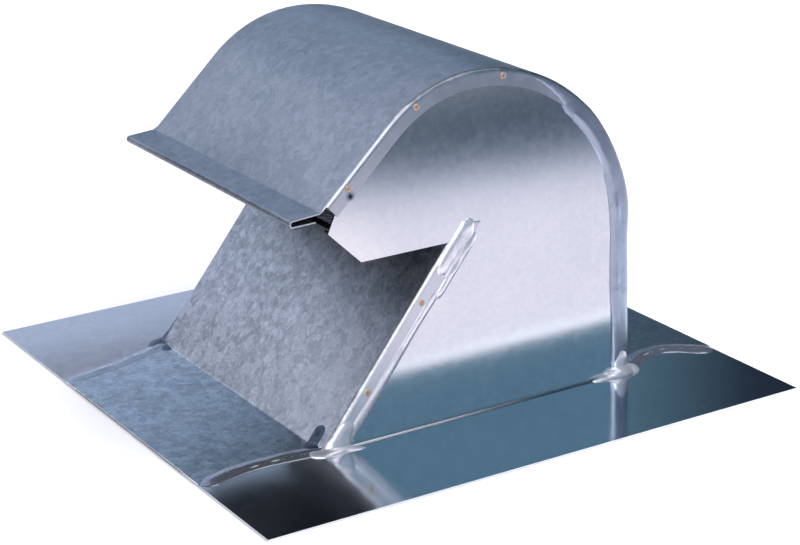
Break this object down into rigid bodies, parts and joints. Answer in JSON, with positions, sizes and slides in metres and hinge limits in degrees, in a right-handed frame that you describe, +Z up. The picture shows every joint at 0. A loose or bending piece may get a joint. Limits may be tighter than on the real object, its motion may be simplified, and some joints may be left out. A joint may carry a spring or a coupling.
{
  "type": "cowl vent",
  "caption": "Soldered galvanised sheet-metal cowl vent: curved hood with a hemmed drip lip over a screened mouth, square throat and flat flashing.",
  "frame": {"origin": "middle of the flashing's underside", "axes": "+Z up, mouth and drip lip face -Y, X across the vent"},
  "size_m": [0.3564, 0.3422, 0.198],
  "materials": {
    "galvanised_hood": "matte hot-dip galvanised sheet, fine spangle, blue-grey",
    "galvanised_panel": "matte hot-dip galvanised sheet, coarse mottled spangle, pale grey",
    "galvanised_cheek": "satin galvanised sheet, smooth and reflective",
    "solder": "bright tin-lead solder, smooth and lumpy",
    "weld_scale": "heat-tinted spot weld, straw brown",
    "galvanised_wire": "galvanised wire and strip"
  },
  "bodies": {
    "root": {"hood_wrapper": "galvanised_hood", "front_panel": "galvanised_panel", "right_cheek": "galvanised_cheek", "left_cheek": "galvanised_cheek", "front_foot_solder_right": "solder", "front_foot_solder_left": "solder", "rear_foot_solder_right": "solder", "rear_foot_solder_left": "solder", "front_flange_solder_right": "solder", "front_flange_solder_left": "solder", "rear_flange_solder_right": "solder", "rear_flange_solder_left": "solder", "rear_seam_solder_right": "solder", "rear_seam_solder_left": "solder", "notch_solder_right": "solder", "notch_solder_left": "solder", "hood_spot_welds_right": "weld_scale", "hood_spot_welds_left": "weld_scale", "panel_spot_welds_right": "weld_scale", "panel_spot_welds_left": "weld_scale", "screen_rail_front": "galvanised_wire", "screen_rail_rear": "galvanised_wire", "screen_rail_right": "galvanised_wire", "screen_rail_left": "galvanised_wire", "screen_wires_across": "galvanised_wire", "screen_wires_down": "galvanised_wire", "screen_tacks_right": "solder", "screen_tacks_left": "solder"}
  },
  "joints": []
}
